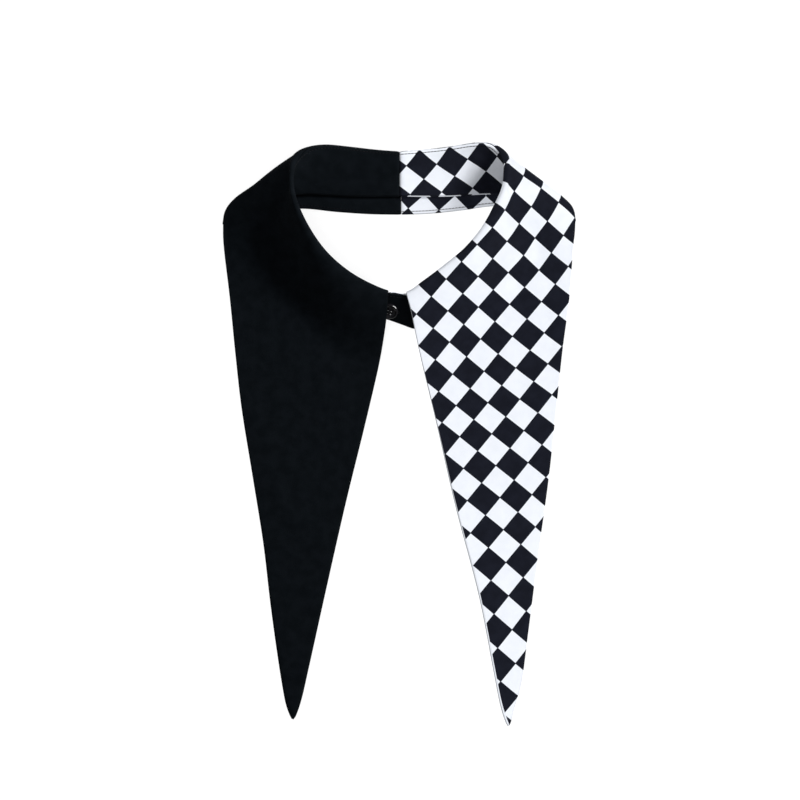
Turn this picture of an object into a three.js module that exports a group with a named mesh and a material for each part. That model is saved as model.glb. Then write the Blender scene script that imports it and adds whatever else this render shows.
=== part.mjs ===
// A detachable shirt collar, buttoned and laid down flat with its front up.
// One half is black cloth, the other a black and white check; each half is a stand and a fall.
// Millimetres. X runs to the right, Y from the points towards the back of the neck, Z up from the table.
import * as THREE from 'three';

// Cloth
const fallThickness = 1.2;
const standThickness = 1.4;
const seamGap = 0.8;
const layGap = 0.3;
const layOn = fallThickness / 2;

// The roll, where the fall turns over the top of the stand
const rollRadiusBack = 2.2;
const rollRadiusFront = 1.8;
const rollSteps = 4;

// How the fall comes down from the roll to the table
const leafRampLength = 52;
const foldLift = 2.2;
const foldClearance = 0.14;

// Grid of the sheets
const backSteps = 14;
const foldSteps = 4;
const leafSteps = 24;
const acrossSteps = 17;
const rampSteps = 10;
const standStepsPerRow = 2;
const standAcrossSteps = 6;

// Button
const buttonRadius = 5.2;
const buttonThickness = 2.3;
const buttonBevel = 0.55;
const buttonHoleRadius = 0.75;
const buttonHoleOffset = 1.15;

// The stand from the centre back to its front end, for a half that lies on the side of positive x.
// top is the seam with the fall, foot the lower edge.
const backRows = [
  { topX: 0.2, topY: 179.0, topZ: 5.2, footX: 0.2, footY: 153.0, footZ: 3.0 },
  { topX: 16, topY: 180.2, topZ: 5.8, footX: 16, footY: 152.8, footZ: 3.0 },
  { topX: 33, topY: 181.9, topZ: 7.6, footX: 32.5, footY: 153.0, footZ: 3.0 },
  { topX: 48, topY: 183.5, topZ: 10.4, footX: 48.5, footY: 154.0, footZ: 3.2 },
];
const blackRows = [
  ...backRows,
  { topX: 58.2, topY: 181.9, topZ: 13.4, footX: 60.5, footY: 154.4, footZ: 3.8 },
  { topX: 64.0, topY: 178.8, topZ: 16.2, footX: 69.3, footY: 153.4, footZ: 4.4 },
  { topX: 67.2, topY: 173.6, topZ: 18.6, footX: 75.8, footY: 151.4, footZ: 4.6 },
  { topX: 68.7, topY: 165.4, topZ: 20.6, footX: 80.2, footY: 147.6, footZ: 4.0 },
  { topX: 68.6, topY: 156.9, topZ: 21.8, footX: 81.4, footY: 140.6, footZ: 2.6 },
  { topX: 65.4, topY: 145.1, topZ: 22.2, footX: 78.4, footY: 130.6, footZ: 1.2 },
  { topX: 57.0, topY: 128.4, topZ: 21.6, footX: 69.2, footY: 113.8, footZ: 1.0 },
  { topX: 46.7, topY: 114.6, topZ: 20.0, footX: 56.2, footY: 98.2, footZ: 1.0 },
  { topX: 33.1, topY: 102.8, topZ: 17.2, footX: 40.4, footY: 85.2, footZ: 1.0 },
  { topX: 19.2, topY: 94.8, topZ: 14.6, footX: 23.4, footY: 77.0, footZ: 1.6 },
  { topX: 7.1, topY: 90.0, topZ: 13.2, footX: 8.4, footY: 74.0, footZ: 3.2 },
  { topX: -2, topY: 88.9, topZ: 12.8, footX: -2, footY: 70.6, footZ: 3.6 },
  { topX: -9.5, topY: 87.0, topZ: 11.8, footX: -10, footY: 67.2, footZ: 3.6 },
  { topX: -14.5, topY: 83.4, topZ: 10.0, footX: -14.5, footY: 69.2, footZ: 4.2 },
];
const checkRows = [
  ...backRows,
  { topX: 58.6, topY: 182.8, topZ: 13.4, footX: 60.5, footY: 154.4, footZ: 3.8 },
  { topX: 64.6, topY: 179.8, topZ: 16.2, footX: 69.3, footY: 153.4, footZ: 4.4 },
  { topX: 67.4, topY: 174.4, topZ: 18.6, footX: 75.4, footY: 151.6, footZ: 4.6 },
  { topX: 67.6, topY: 165.6, topZ: 20.6, footX: 79.2, footY: 147.8, footZ: 4.0 },
  { topX: 66.6, topY: 156.9, topZ: 21.8, footX: 79.6, footY: 141.2, footZ: 2.6 },
  { topX: 61.9, topY: 146.1, topZ: 22.2, footX: 75.0, footY: 131.6, footZ: 1.2 },
  { topX: 53.8, topY: 131.3, topZ: 21.6, footX: 66.0, footY: 116.2, footZ: 1.0 },
  { topX: 42.8, topY: 118.0, topZ: 20.0, footX: 52.8, footY: 101.4, footZ: 1.0 },
  { topX: 29.5, topY: 106.8, topZ: 17.4, footX: 37.0, footY: 88.8, footZ: 1.0 },
  { topX: 15.9, topY: 96.6, topZ: 14.0, footX: 20.4, footY: 78.4, footZ: 1.0 },
  { topX: 4.7, topY: 90.4, topZ: 11.4, footX: 7.2, footY: 73.2, footZ: 1.0 },
  { topX: -3, topY: 90.5, topZ: 10.2, footX: -3, footY: 73.6, footZ: 1.0 },
  { topX: -9, topY: 89.9, topZ: 9.4, footX: -9, footY: 76.4, footZ: 1.0 },
];

// Rows between which the fall turns over at the neck corner, and the row where the leaf ends at the front.
const foldFromRow = 4.7;
const foldToRow = 6.1;
const leafEndRow = 14;

// Outer edge of the part of the fall that lies under the stand, from the centre back to the fold.
const backEdge = [
  { x: 0.2, y: 142.2 },
  { x: 20, y: 143.0 },
  { x: 42, y: 145.4 },
  { x: 62, y: 147.4 },
  { x: 84, y: 144.6 },
  { x: 102, y: 140.6 },
];

// The fold that runs out from the neck corner, as seen from above, ending where the leaf's edge begins.
const blackFold = [
  { x: 78.5, y: 172.9 },
  { x: 94.0, y: 160.8 },
  { x: 106.6, y: 151.0 },
  { x: 112.4, y: 144.0 },
  { x: 114.4, y: 135.0 },
];
const checkFold = [
  { x: 80.0, y: 171.2 },
  { x: 93.6, y: 161.6 },
  { x: 105.6, y: 152.6 },
  { x: 112.0, y: 146.0 },
  { x: 114.2, y: 137.0 },
];

// Outer and inner edges of the two leaves, down to the point.
const blackOuter = [
  { x: 114.4, y: 130.6 },
  { x: 113.4, y: 120.0 },
  { x: 109.8, y: 86.2 },
  { x: 106.8, y: 52.8 },
  { x: 102.5, y: 16.4 },
  { x: 95.1, y: -29.0 },
  { x: 88.6, y: -72.4 },
  { x: 83.8, y: -111.0 },
  { x: 79.8, y: -140.6 },
  { x: 76.0, y: -164.0 },
  { x: 72.6, y: -178.6 },
  { x: 68.8, y: -185.4 },
];
const blackInner = [
  { x: 7.6, y: 80.0 },
  { x: 12.2, y: 50.2 },
  { x: 22.0, y: 7.4 },
  { x: 35.2, y: -46.0 },
  { x: 49.2, y: -109.2 },
  { x: 59.7, y: -156.2 },
  { x: 65.2, y: -178.0 },
];
const checkOuter = [
  { x: 114.1, y: 132.0 },
  { x: 112.9, y: 121.0 },
  { x: 110.3, y: 86.2 },
  { x: 106.2, y: 55.4 },
  { x: 102.4, y: 20.0 },
  { x: 97.0, y: -30.2 },
  { x: 89.8, y: -82.8 },
  { x: 83.8, y: -130.0 },
  { x: 79.0, y: -165.0 },
  { x: 73.8, y: -182.0 },
  { x: 71.0, y: -189.0 },
];
const checkInner = [
  { x: 6.9, y: 80.2 },
  { x: 12.6, y: 54.0 },
  { x: 23.8, y: 7.0 },
  { x: 36.7, y: -48.6 },
  { x: 52.2, y: -106.2 },
  { x: 62.4, y: -155.6 },
  { x: 68.0, y: -181.6 },
];

// Where the button sits: row along the black stand, part of the way down from its top edge.
const buttonRow = 14.2;
const buttonDown = 0.58;

const up = new THREE.Vector3(0, 0, 1);

function ease(x) {
  const t = Math.min(1, Math.max(0, x));
  return t * t * (3 - 2 * t);
}

function mix(a, b, t) {
  return a + (b - a) * t;
}

function smoothCurve(points) {
  return new THREE.CatmullRomCurve3(points, false, 'centripetal');
}

function planPoint(entry, z = 0) {
  return new THREE.Vector3(entry.x, entry.y, z);
}

// A half is described on the side of positive x: curves for the stand's two edges and for the fall's outline.
function describeHalf(rows, fold, outer, inner) {
  const top = smoothCurve(rows.map((row) => new THREE.Vector3(row.topX, row.topY, row.topZ)));
  const foot = smoothCurve(rows.map((row) => new THREE.Vector3(row.footX, row.footY, row.footZ)));
  const half = { lastRow: rows.length - 1, top, foot };
  const foldStart = rollPoint(half, (foldFromRow + foldToRow) / 2, 1);
  const leafStart = rollPoint(half, leafEndRow, 1);
  half.fold = smoothCurve([foldStart.clone().setZ(0), ...fold.map((entry) => planPoint(entry))]);
  half.backEdge = smoothCurve([...backEdge.map((entry) => planPoint(entry)), foldPoint(half, 1, 0).setZ(0)]);
  half.outer = smoothCurve([foldPoint(half, 1, 1).setZ(0), ...outer.map((entry) => planPoint(entry))]);
  half.inner = smoothCurve([leafStart.clone().setZ(0), ...inner.map((entry) => planPoint(entry)),
    planPoint(outer[outer.length - 1])]);
  return half;
}

// Directions of the stand at a row: along the seam, down the stand, and out to the side of the fall.
function standFrame(half, row) {
  const t = row / half.lastRow;
  const top = half.top.getPoint(t);
  const along = half.top.getTangent(t);
  const down = half.foot.getPoint(t).sub(top).normalize();
  const out = along.clone().cross(down).normalize();
  return { top, along, down, out };
}

// The roll: from the seam up and over. turn is 0 at the seam and 1 where the fall leaves the roll.
function rollPoint(half, row, turn) {
  const { top, down, out } = standFrame(half, row);
  const backness = 1 - ease((row - 2) / 4);
  const radius = mix(rollRadiusFront, rollRadiusBack, backness);
  const level = out.z > 0 ? Math.PI + Math.atan(down.z / out.z) : Math.PI;
  const fullTurn = mix(Math.PI * 0.97, level, ease((row - 5) / 2.5));
  const angle = fullTurn * turn;
  return top.clone()
    .addScaledVector(down, -seamGap / 2 - radius * Math.sin(angle))
    .addScaledVector(out, radius * (1 - Math.cos(angle)));
}

// A patch between four curves: (u, 0) bottom, (u, 1) top, (0, v) left, (1, v) right.
function patchPoint(bottom, top, left, right, u, v) {
  const along = bottom(u).multiplyScalar(1 - v).add(top(u).multiplyScalar(v));
  const across = left(v).multiplyScalar(1 - u).add(right(v).multiplyScalar(u));
  const corners = bottom(0).multiplyScalar((1 - u) * (1 - v))
    .add(bottom(1).multiplyScalar(u * (1 - v)))
    .add(top(0).multiplyScalar((1 - u) * v))
    .add(top(1).multiplyScalar(u * v));
  return along.add(across).sub(corners);
}

// Heights of the two layers that meet at the fold, v running from the neck corner to the outer edge.
function foldHeights(half, v) {
  const lowStart = rollPoint(half, foldFromRow, 1).z;
  const highStart = rollPoint(half, foldToRow, 1).z;
  const low = layOn + (lowStart - layOn) * (1 - v) ** 1.6;
  const high = layOn + foldLift + (highStart - layOn - foldLift) * (1 - ease(v));
  return { low, high };
}

// A point on the rounded fold: tip 0 is the lower layer, 0.5 the outermost line, 1 the upper layer.
function foldPoint(half, v, tip) {
  const { low, high } = foldHeights(half, v);
  const radius = (high - low) / 2;
  const angle = Math.PI * (tip - 0.5);
  const tangent = half.fold.getTangentAt(v);
  const inward = new THREE.Vector3(tangent.y, -tangent.x, 0).normalize();
  const point = half.fold.getPointAt(v).addScaledVector(inward, radius * (1 - Math.cos(angle)));
  point.z = (low + high) / 2 + radius * Math.sin(angle);
  const start = rollPoint(half, mix(foldFromRow, foldToRow, tip), 1);
  return start.lerp(point, ease(v / 0.35));
}

// How much of its height above the table a layer still has along the fold, from 1 at the neck corner to 0.
function foldShare(half, v, tip) {
  const end = foldPoint(half, 1, tip).z;
  return (foldPoint(half, v, tip).z - end) / (foldPoint(half, 0, tip).z - end);
}

// The part of the fall that lies under the stand.
function backPoint(half, u, v) {
  const bottom = (a) => rollPoint(half, foldFromRow * a, 1);
  const top = (a) => half.backEdge.getPointAt(a).setZ(layOn);
  const left = (b) => bottom(0).lerp(top(0), b);
  const right = (b) => foldPoint(half, b, 0);
  const point = patchPoint(bottom, top, left, right, u, v);
  const share = mix((1 - v) ** 2, foldShare(half, v, 0), ease((u - 0.6) / 0.4));
  point.z = mix(layOn, bottom(u).z, share);
  return point;
}

// The leaf: it leaves the roll level, comes down to the table and lies flat to its point.
function leafPoint(half, u, v) {
  const bottom = (a) => rollPoint(half, mix(foldToRow, leafEndRow, a), 1);
  const top = (a) => half.outer.getPointAt(a);
  const left = (b) => foldPoint(half, b, 1);
  const right = (b) => half.inner.getPointAt(b);
  const point = patchPoint(bottom, top, left, right, u, v);
  const start = bottom(u);
  const reach = Math.hypot(point.x - start.x, point.y - start.y);
  const rest = layOn + foldLift * (1 - ease(u / foldClearance));
  const share = mix(foldShare(half, v, 1), 1 - ease(reach / leafRampLength), ease(u / 0.2));
  point.z = mix(rest, start.z, share);
  return point;
}

// All lines of the fall from the centre back, under the stand, round the fold and on to the front end.
function fallGrid(half) {
  const lines = [];
  const even = (j) => j / acrossSteps;
  const rollLine = (row) => Array.from({ length: rollSteps }, (_, k) => rollPoint(half, row, k / rollSteps));
  for (let i = 0; i < backSteps; i += 1) {
    const u = i / backSteps;
    const patch = Array.from({ length: acrossSteps + 1 }, (_, j) => backPoint(half, u, even(j)));
    lines.push([...rollLine(foldFromRow * u), ...patch]);
  }
  for (let i = 0; i <= foldSteps; i += 1) {
    const tip = i / foldSteps;
    const patch = Array.from({ length: acrossSteps + 1 }, (_, j) => foldPoint(half, even(j), tip));
    lines.push([...rollLine(mix(foldFromRow, foldToRow, tip)), ...patch]);
  }
  for (let i = 1; i <= leafSteps; i += 1) {
    const u = i / leafSteps;
    const reach = leafPoint(half, u, 0).distanceTo(leafPoint(half, u, 1));
    const rampShare = Math.min(rampSteps / acrossSteps, leafRampLength * 1.04 / reach);
    const across = (j) => (j < rampSteps
      ? rampShare * j / rampSteps
      : Math.min(1, mix(rampShare, 1, (j - rampSteps) / (acrossSteps - rampSteps))));
    const patch = Array.from({ length: acrossSteps + 1 }, (_, j) => leafPoint(half, u, across(j)));
    lines.push([...rollLine(mix(foldToRow, leafEndRow, u)), ...patch]);
  }
  return lines;
}

function standPoint(half, row, part) {
  const { top, down } = standFrame(half, row);
  const start = top.addScaledVector(down, seamGap / 2);
  return start.lerp(half.foot.getPoint(row / half.lastRow), part);
}

function standGrid(half) {
  const lines = [];
  const count = half.lastRow * standStepsPerRow;
  for (let i = 0; i <= count; i += 1) {
    const row = i / standStepsPerRow;
    lines.push(Array.from({ length: standAcrossSteps + 1 }, (_, j) =>
      standPoint(half, row, j / standAcrossSteps)));
  }
  return lines;
}

// A closed sheet of even thickness about a grid of points, its edges squared off.
function sheetGeometry(lines, thickness, side) {
  const rows = lines.length;
  const columns = lines[0].length;
  const at = (i, j) => lines[Math.min(rows - 1, Math.max(0, i))][Math.min(columns - 1, Math.max(0, j))];
  const positions = [];
  for (const face of [1, -1]) {
    for (let i = 0; i < rows; i += 1) {
      for (let j = 0; j < columns; j += 1) {
        const along = at(i + 1, j).clone().sub(at(i - 1, j)).normalize();
        const across = at(i, j + 1).clone().sub(at(i, j - 1)).normalize();
        const normal = along.cross(across).normalize();
        const surface = at(i, j).clone().addScaledVector(normal, face * thickness / 2);
        positions.push(side * surface.x, surface.y, Math.max(0, surface.z));
      }
    }
  }
  const index = (face, i, j) => face * rows * columns + i * columns + j;
  const triangles = [];
  const point = (n) => new THREE.Vector3().fromArray(positions, 3 * n);
  // Each four-sided cell is cut along its shorter diagonal, so that a slanting cell keeps its shape.
  const quad = (a, b, c, d) => {
    const cut = point(a).distanceTo(point(c)) < point(b).distanceTo(point(d)) + 1e-6
      ? [a, b, c, a, c, d]
      : [b, c, d, b, d, a];
    triangles.push(...cut);
  };
  for (let i = 0; i + 1 < rows; i += 1) {
    for (let j = 0; j + 1 < columns; j += 1) {
      quad(index(0, i, j), index(0, i + 1, j), index(0, i + 1, j + 1), index(0, i, j + 1));
      quad(index(1, i, j), index(1, i, j + 1), index(1, i + 1, j + 1), index(1, i + 1, j));
    }
    quad(index(0, i, 0), index(1, i, 0), index(1, i + 1, 0), index(0, i + 1, 0));
    const last = columns - 1;
    quad(index(0, i, last), index(0, i + 1, last), index(1, i + 1, last), index(1, i, last));
  }
  for (let j = 0; j + 1 < columns; j += 1) {
    quad(index(0, 0, j), index(0, 0, j + 1), index(1, 0, j + 1), index(1, 0, j));
    const last = rows - 1;
    quad(index(0, last, j), index(1, last, j), index(1, last, j + 1), index(0, last, j + 1));
  }
  if (side < 0) {
    triangles.reverse();
  }
  const geometry = new THREE.BufferGeometry();
  geometry.setAttribute('position', new THREE.Float32BufferAttribute(positions, 3));
  geometry.setIndex(triangles);
  geometry.computeVertexNormals();
  return geometry;
}

function buttonGeometry() {
  const disc = new THREE.Shape();
  disc.absarc(0, 0, buttonRadius - buttonBevel, 0, Math.PI * 2, false);
  for (const [sx, sy] of [[1, 1], [-1, 1], [-1, -1], [1, -1]]) {
    const hole = new THREE.Path();
    hole.absarc(sx * buttonHoleOffset, sy * buttonHoleOffset, buttonHoleRadius + buttonBevel / 2, 0, Math.PI * 2, true);
    disc.holes.push(hole);
  }
  const geometry = new THREE.ExtrudeGeometry(disc, {
    depth: buttonThickness - 2 * buttonBevel,
    bevelThickness: buttonBevel,
    bevelSize: buttonBevel,
    bevelSegments: 2,
    curveSegments: 10,
  });
  geometry.translate(0, 0, buttonBevel);
  return geometry;
}

function cloth(colour) {
  return new THREE.MeshStandardMaterial({ color: colour, roughness: 0.85, metalness: 0 });
}

function namedMesh(name, geometry, material) {
  const mesh = new THREE.Mesh(geometry, material);
  mesh.name = name;
  return mesh;
}

const blackHalf = describeHalf(blackRows, blackFold, blackOuter, blackInner);
const checkHalf = describeHalf(checkRows, checkFold, checkOuter, checkInner);

const collar = new THREE.Group();
collar.name = 'detachable_collar';
collar.add(namedMesh('stand_black', sheetGeometry(standGrid(blackHalf), standThickness, -1), cloth(0x111215)));
collar.add(namedMesh('stand_check', sheetGeometry(standGrid(checkHalf), standThickness, 1), cloth(0xd9dce0)));
collar.add(namedMesh('fall_black', sheetGeometry(fallGrid(blackHalf), fallThickness, -1), cloth(0x131418)));
collar.add(namedMesh('fall_check', sheetGeometry(fallGrid(checkHalf), fallThickness, 1), cloth(0xe4e7ea)));

// The button lies on the outer face of the black stand, square to it.
const seat = standPoint(blackHalf, buttonRow, buttonDown);
const seatAlong = standPoint(blackHalf, buttonRow + 0.4, buttonDown)
  .sub(standPoint(blackHalf, buttonRow - 0.4, buttonDown));
const seatDown = standPoint(blackHalf, buttonRow, buttonDown + 0.2)
  .sub(standPoint(blackHalf, buttonRow, buttonDown - 0.2));
const seatOut = seatAlong.cross(seatDown).normalize();
seat.addScaledVector(seatOut, standThickness / 2 + 2 * layGap);
const button = namedMesh('button', buttonGeometry(),
  new THREE.MeshStandardMaterial({ color: 0x08090b, roughness: 0.2, metalness: 0 }));
button.position.set(-seat.x, seat.y, seat.z);
button.quaternion.setFromUnitVectors(up, new THREE.Vector3(-seatOut.x, seatOut.y, seatOut.z));
collar.add(button);

// The origin is on the table, under the middle of the whole collar.
const extent = new THREE.Box3().setFromObject(collar);
const middle = extent.getCenter(new THREE.Vector3());
for (const piece of collar.children) {
  piece.position.x -= middle.x;
  piece.position.y -= middle.y;
  piece.position.z -= extent.min.z;
}

export default collar;
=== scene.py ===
import bmesh
import bpy
import math
import numpy as np
from mathutils import Matrix, Vector


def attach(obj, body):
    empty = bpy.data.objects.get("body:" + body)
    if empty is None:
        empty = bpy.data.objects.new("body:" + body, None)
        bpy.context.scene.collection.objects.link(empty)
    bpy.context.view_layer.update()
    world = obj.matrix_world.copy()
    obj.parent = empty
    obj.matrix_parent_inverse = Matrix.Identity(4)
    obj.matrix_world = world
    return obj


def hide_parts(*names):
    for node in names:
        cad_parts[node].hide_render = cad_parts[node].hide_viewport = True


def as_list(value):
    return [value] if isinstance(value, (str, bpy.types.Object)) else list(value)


# A detachable collar, buttoned and laid down flat, front up. One half is black poplin, the other checked.
# Shapes are worked out in millimetres on the side of positive x, the black half is then mirrored.
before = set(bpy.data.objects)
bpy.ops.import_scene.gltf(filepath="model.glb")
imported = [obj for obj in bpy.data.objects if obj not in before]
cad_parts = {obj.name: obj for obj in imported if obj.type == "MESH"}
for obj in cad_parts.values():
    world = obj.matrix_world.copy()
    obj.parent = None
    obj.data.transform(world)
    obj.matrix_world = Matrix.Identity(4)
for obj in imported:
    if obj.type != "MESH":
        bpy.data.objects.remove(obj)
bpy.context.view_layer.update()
print("frame loaded")

mm = 0.001
centring = np.array([0.1008, 0.9891, 0.0])  # puts its middle over the origin, as in the frame

# shape of the cloth

collar = {
    "fallThick": 1.2, "standThick": 1.4, "seamGap": 0.8,
    "rollBack": 2.2, "rollFront": 1.8,  # radius of the roll at the centre back and in front
    "rollNarrows": (2, 4),  # the rows over which it changes: the first one and how many
    "rollTurn": math.pi * 0.97,  # how far the fall goes round the roll at the back
    "rollTurnChanges": (5, 2.5),  # and the rows over which it becomes what lets it leave level
    "rampLength": 52,  # how far the fall takes to come down to the table
    "rampMargin": 1.04,
    "foldRows": (4.7, 6.1),
    "foldLift": 2.2,
    "foldDrop": 1.6,  # power by which its lower layer comes down
    "foldParts": (0, 0.35),  # the share of its length over which it parts from the roll
    "foldClearance": 0.14,
    "foldEndFrom": 0.8,  # from here on it is pressed flatter
    "foldEndFlat": 0.85,
    "backMeetsFold": (0.6, 0.4),
    "leafMeetsFold": (0, 0.2),
    "leafEndRow": 14,
    "seamTurn": 0.44,  # how far round the roll the stand's own cloth reaches at the back
    "seamGoesIn": (3.6, 1.8),  # and the rows over which the seam goes down inside the neck
    "seamGroove": 0.15,
}
layOn = collar["fallThick"] / 2

# stand, a row for each station from the centre back: top x, y, z and foot x, y, z
backStand = [
    (0.2, 179, 5.2, 0.2, 153, 3), (16, 180.2, 5.8, 16, 152.8, 3),
    (33, 181.9, 7.6, 32.5, 153, 3),
]
blackStand = backStand + [
    (48, 182.8, 10.4, 48.5, 154, 3.2), (58.2, 181, 13.4, 60.5, 154.4, 3.8),
    (63.8, 178, 16.2, 69.3, 153.4, 4.4), (67.1, 173.1, 18.6, 75.8, 151.4, 4.6),
    (68.7, 165.4, 20.6, 80.2, 147.6, 4), (68.6, 156.9, 21.8, 81.4, 140.6, 2.6),
    (65.4, 145.1, 22.2, 78.4, 130.6, 1.2), (57, 128.4, 21.6, 69.2, 113.8, 1),
    (46.7, 114.6, 20, 56.2, 98.2, 1), (33.1, 102.8, 17.2, 40.4, 85.2, 1),
    (19.2, 94.8, 14.6, 23.4, 77, 1.6), (7.1, 90, 13.2, 8.4, 73.5, 3.2),
    (-2, 88.6, 12.8, -2, 69.7, 3.6), (-9.5, 87, 11.8, -10, 67.2, 3.6),
    (-14.5, 83.4, 10, -14.5, 69.2, 4.2),
]
checkStand = backStand + [
    (48, 184, 10.4, 48.5, 154, 3.2), (58.6, 183.4, 13.4, 60.5, 154.4, 3.8),
    (64.6, 179.5, 16.2, 69.3, 153.4, 4.4), (67.4, 174.4, 18.6, 75.4, 151.6, 4.6),
    (67.6, 165.6, 20.6, 79.2, 147.8, 4), (66.6, 156.9, 21.8, 79.6, 141.2, 2.6),
    (61.9, 146.1, 22.2, 75, 131.6, 1.2), (53.8, 131.3, 21.6, 66, 116.2, 1),
    (42.8, 118, 20, 52.8, 101.4, 1), (29.5, 106.8, 17.4, 37, 88.8, 1),
    (15.9, 96.6, 14, 20.4, 78.4, 1), (4.9, 89.4, 11.4, 7.2, 73.2, 1),
    (-3, 90.5, 10.2, -3, 73.6, 1), (-9, 89.9, 9.4, -9, 76.4, 1),
]
# outlines seen from above, x and y
blackOutline = {
    "back": [(0.2, 141.4), (20, 141.8), (42, 143.3), (62, 145.3), (84, 144), (102, 140.6)],
    "fold": [(78.5, 172.1), (94, 160.2), (106.8, 151.4), (112.6, 144.2), (114.5, 135)],
    "outer": [(114.7, 130.6), (114.1, 120), (110.2, 86.2), (106.9, 52.8), (102.8, 16.4), (95.5, -29),
              (88.6, -72.4), (84.1, -111), (80.1, -140.6), (76.5, -164), (73.4, -179.6), (69.1, -189.2)],
    "inner": [(7.6, 80), (12, 50.2), (21.7, 7.4), (34.8, -46), (49.1, -109.2), (59.5, -156.2),
              (64.6, -178)],
}
checkOutline = {
    "back": [(0.2, 141.4), (20, 142.1), (42, 144.4), (62, 147), (84, 144.6), (102, 140.6)],
    "fold": [(80, 171.2), (93.6, 161.6), (105.6, 152.6), (112, 146), (114.2, 137)],
    "outer": [(114.1, 132), (112.9, 121), (110.3, 86.2), (106.2, 55.4), (102.4, 20), (97, -30.2),
              (89.8, -82.8), (83.8, -130), (79, -165), (74, -182), (72.8, -188.6),
              (70.6, -193.6)],
    "inner": [(6.9, 80.2), (12.4, 54), (23.6, 7), (36.3, -48.6), (51.4, -106.2), (61, -155.6),
              (66.2, -181.6)],
}


def ease(x):
    t = np.clip(x, 0, 1)
    return t * t * (3 - 2 * t)


def easeOver(x, span):
    # from 0 to 1 over a span: where it starts and how long it is
    return ease((x - span[0]) / span[1])


def mix(a, b, t):
    return a + (b - a) * t


def setAll(thing, **settings):
    for name, value in settings.items():
        setattr(thing, name, value)
    return thing


def unit(v):
    return v / np.maximum(1e-9, np.linalg.norm(v, axis=-1, keepdims=True))


curveSteps = 201  # points by which a curve's length is measured
tangentStep = 1e-4


class SmoothCurve:
    # a centripetal spline, read by parameter or by even steps of its length
    def __init__(self, points):
        p = np.array(points, float)
        p = np.pad(p, [(0, 0), (0, 3 - p.shape[1])])
        ends = np.vstack([2 * p[0] - p[1], p, 2 * p[-1] - p[-2]])
        pieces = []
        for a, b, c, d in zip(ends, ends[1:], ends[2:], ends[3:]):
            ab, bc, cd = (max(1e-9, ((q - r) ** 2).sum()) ** 0.25 for q, r in ((b, a), (c, b), (d, c)))
            out = ((b - a) / ab - (c - a) / (ab + bc) + (c - b) / bc) * bc
            back = ((c - b) / bc - (d - b) / (bc + cd) + (d - c) / cd) * bc
            pieces.append([b, out, 3 * (c - b) - 2 * out - back, 2 * (b - c) + out + back])
        self.pieces = np.array(pieces)
        self.steps = np.linspace(0, 1, curveSteps)
        walk = np.linalg.norm(np.diff(self.point(self.steps), axis=0), axis=1)
        self.walked = np.concatenate([[0], np.cumsum(walk)])

    def point(self, t):
        s = np.clip(np.asarray(t, float), 0, 1) * len(self.pieces)
        i = np.minimum(len(self.pieces) - 1, s.astype(int))
        w = (s - i)[..., None]
        c = self.pieces[i]
        return c[..., 0, :] + w * (c[..., 1, :] + w * (c[..., 2, :] + w * c[..., 3, :]))

    def tangent(self, t):
        ahead, behind = np.clip(t + tangentStep, 0, 1), np.clip(t - tangentStep, 0, 1)
        return unit(self.point(ahead) - self.point(behind))

    def evenly(self, share):
        return np.interp(share * self.walked[-1], self.walked, self.steps)

    def pointAt(self, share):
        return self.point(self.evenly(share))


def standFrame(half, row):
    t = row / half["lastRow"]
    top = half["top"].point(t)
    along = half["top"].tangent(t)
    down = unit(half["foot"].point(t) - top)
    return top, down, unit(np.cross(along, down))


def rollSize(half, row):
    # radius of the roll and how far it turns before the fall leaves it
    _, down, out = standFrame(half, row)
    radius = mix(collar["rollFront"], collar["rollBack"], 1 - easeOver(row, collar["rollNarrows"]))
    facingUp = out[..., 2] > 0
    slope = np.where(facingUp, down[..., 2] / np.where(facingUp, out[..., 2], 1), 0)
    changed = easeOver(row, collar["rollTurnChanges"])
    return radius, mix(collar["rollTurn"], math.pi + np.arctan(slope), changed)


def rollPoint(half, row, turn):
    top, down, out = standFrame(half, row)
    radius, fullTurn = rollSize(half, row)
    angle = fullTurn * turn
    drop = -collar["seamGap"] / 2 - radius * np.sin(angle)
    return top + down * drop[..., None] + out * (radius * (1 - np.cos(angle)))[..., None]


def foldPoint(half, v, tip):
    # the fold beyond the neck corner: tip 0 is the lower layer, 1 the upper
    lowStart, highStart = (rollPoint(half, row, 1)[2] for row in collar["foldRows"])
    highEnd = layOn + collar["foldLift"]
    low = layOn + (lowStart - layOn) * (1 - v) ** collar["foldDrop"]
    high = highEnd + (highStart - highEnd) * (1 - ease(v))
    radius = (high - low) / 2
    angle = math.pi * (tip - 0.5)
    tangent = half["fold"].tangent(half["fold"].evenly(v))
    inward = unit(np.stack([tangent[..., 1], -tangent[..., 0], 0 * tangent[..., 0]], -1))
    endFrom = collar["foldEndFrom"]
    pressed = ease((v - endFrom) / (1 - endFrom)) * collar["foldEndFlat"]
    point = half["fold"].pointAt(v) + inward * (radius * (1 - np.cos(angle)) * (1 - pressed))[..., None]
    point[..., 2] = (low + high) / 2 + radius * np.sin(angle)
    start = rollPoint(half, mix(*collar["foldRows"], tip), 1)
    return mix(start, point, easeOver(v, collar["foldParts"])[..., None])


def foldShare(half, v, tip):
    end = foldPoint(half, 1, tip)[2]
    return (foldPoint(half, v, tip)[..., 2] - end) / (foldPoint(half, 0, tip)[2] - end)


def patch(bottom, top, left, right, u, v):
    u, v = np.broadcast_arrays(u, v)
    a, b = u[..., None], v[..., None]
    zero, one = np.zeros(()), np.ones(())
    corners = (bottom(zero) * (1 - a) * (1 - b) + bottom(one) * a * (1 - b)
               + top(zero) * (1 - a) * b + top(one) * a * b)
    return bottom(u) * (1 - b) + top(u) * b + left(v) * (1 - a) + right(v) * a - corners


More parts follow.
